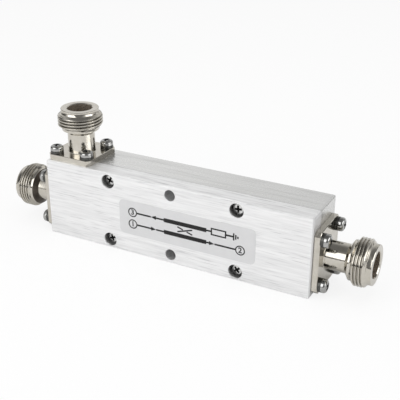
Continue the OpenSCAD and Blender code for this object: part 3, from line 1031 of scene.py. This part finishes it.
label_place = on_front(label_middle.x, label_middle.z)
film = bmesh.new()
prism(film, round_rect(label_size, LABEL_CORNER), 0, FILM_T)
film.transform(label_place)
add_piece("label_sheet", to_mesh(film, "label_sheet"), [label_film], "label_film", "label")
ink_bm = label_print()
ink_bm.transform(label_place)
add_piece("label_print", to_mesh(ink_bm, "label_print"), [print_ink], "label_film")


# Floor, light and camera


def floor_glow(tree):
    """Share of plain white for what the camera sees, straight or mirrored; 0 for light on the part."""
    rays = tree.nodes.new("ShaderNodeLightPath").outputs
    shares = {
        "Is Camera Ray": FLOOR_GLOW,
        "Is Glossy Ray": FLOOR_GLOW_MIRRORED,
        "Is Transmission Ray": FLOOR_GLOW_MIRRORED,
    }
    total = 0.0
    for ray, share in shares.items():
        total = calculate(tree, "MULTIPLY_ADD", rays[ray], share, total)
    return total


def floor_material():
    """Matt white floor that shows as a white ground and keeps the part's shadow."""
    material, tree, shader = new_material("floor", FLOOR_COLOR, 0.0, FLOOR_ROUGHNESS)
    tune(material, {"Specular IOR Level": FLOOR_SPECULAR})
    glow = tree.nodes.new("ShaderNodeEmission")
    both = tree.nodes.new("ShaderNodeMixShader")
    for source, socket in zip((floor_glow(tree), shader.outputs[0], glow.outputs[0]), both.inputs):
        tree.links.new(source, socket)
    tree.links.new(both.outputs[0], tree.nodes["Material Output"].inputs["Surface"])
    return material


def add_floor():
    """Large floor under the part."""
    bm = bmesh.new()
    signs = ((-1, -1), (1, -1), (1, 1), (-1, 1))
    bm.faces.new(loop(bm, [(sx * FLOOR_HALF, sy * FLOOR_HALF) for sx, sy in signs], 0))
    mesh = to_mesh(bm, "floor")
    mesh.materials.append(floor_material())
    floor = place_in_scene("floor", mesh)


def direction_to(azimuth, elevation):
    """Direction from the object; azimuth 0 is in front of it and 90 at its right."""
    a = math.radians(azimuth)
    e = math.radians(elevation)
    return Vector((math.sin(a) * math.cos(e), -math.cos(a) * math.cos(e), math.sin(e)))


def softbox(name, azimuth, elevation, distance, size, radiance, in_reflections=True):
    """A soft lamp that looks at the object."""
    lamp = bpy.data.lights.new(name, "AREA")
    lamp.shape = "RECTANGLE"
    width, height = (side * MM for side in size)
    lamp.size = width
    lamp.size_y = height
    lamp.energy = radiance * math.pi * width * height
    obj = place_in_scene(name, lamp)
    back = direction_to(azimuth, elevation)
    obj.location = (Vector(LAMP_AIM) + back * distance) * MM
    obj.rotation_euler = back.to_track_quat("Z", "Y").to_euler()
    obj.visible_glossy = in_reflections


def studio_world():
    """Pale walls around the object with dark corners, a dark ceiling above it, and white for the camera."""
    world = bpy.data.worlds.new("studio")
    world.use_nodes = True
    tree = world.node_tree
    direction = tree.nodes.new("ShaderNodeTexCoord").outputs["Generated"]
    ramp = tree.nodes.new("ShaderNodeValToRGB")
    elements = ramp.color_ramp.elements
    while len(elements) < len(WALLS):
        elements.new(0.5)
    for element, (place, level) in zip(elements, WALLS):
        element.position = place
        element.color = (level, level, level, 1)
    tree.links.new(axes(tree, direction)["Z"], ramp.inputs[0])
    shown = ramp.outputs[0]
    for azimuth, elevation, radius, depth in DARK_CORNERS:
        toward = vector_node(tree, "DOT_PRODUCT", direction, direction_to(azimuth, elevation))
        span = (math.cos(math.radians(radius)), math.cos(math.radians(radius / 2)))
        left = spread(tree, toward.outputs["Value"], 1.0, 1.0 - depth, span)
        shown = calculate(tree, "MULTIPLY", shown, left)
    camera_ray = tree.nodes.new("ShaderNodeLightPath").outputs["Is Camera Ray"]
    shown = calculate(tree, "MAXIMUM", shown, camera_ray)
    tree.links.new(shown, tree.nodes["Background"].inputs["Color"])
    bpy.context.scene.world = world


def add_camera():
    """Camera at the photo's angle."""
    back = direction_to(CAMERA_AZIMUTH, CAMERA_ELEVATION)
    right = direction_to(CAMERA_AZIMUTH + 90, 0)
    up = back.cross(right)
    lens = bpy.data.cameras.new("camera")
    lens.lens = CAMERA_LENS
    lens.sensor_fit = "HORIZONTAL"
    lens.sensor_width = CAMERA_SENSOR
    lens.clip_start, lens.clip_end = (distance * MM for distance in CAMERA_CLIP)
    camera = place_in_scene("camera", lens)
    place = Matrix.Translation((Vector(CAMERA_AIM) + back * CAMERA_DISTANCE) * MM)
    turn = Matrix((right, up, back)).transposed().to_4x4()
    camera.matrix_world = place @ turn @ Matrix.Rotation(math.radians(CAMERA_ROLL), 4, "Z")
    bpy.context.scene.camera = camera


studio_world()
add_floor()
softbox("key", azimuth=-22, elevation=30, distance=600, size=(450, 490), radiance=1.8)
softbox("side", azimuth=92, elevation=22, distance=800, size=(620, 280), radiance=2.3)
softbox(
    "overhead", azimuth=0, elevation=85, distance=1000, size=(1000, 1000), radiance=1.5,
    in_reflections=False,
)
add_camera()
bpy.context.scene.view_settings.view_transform = "Standard"
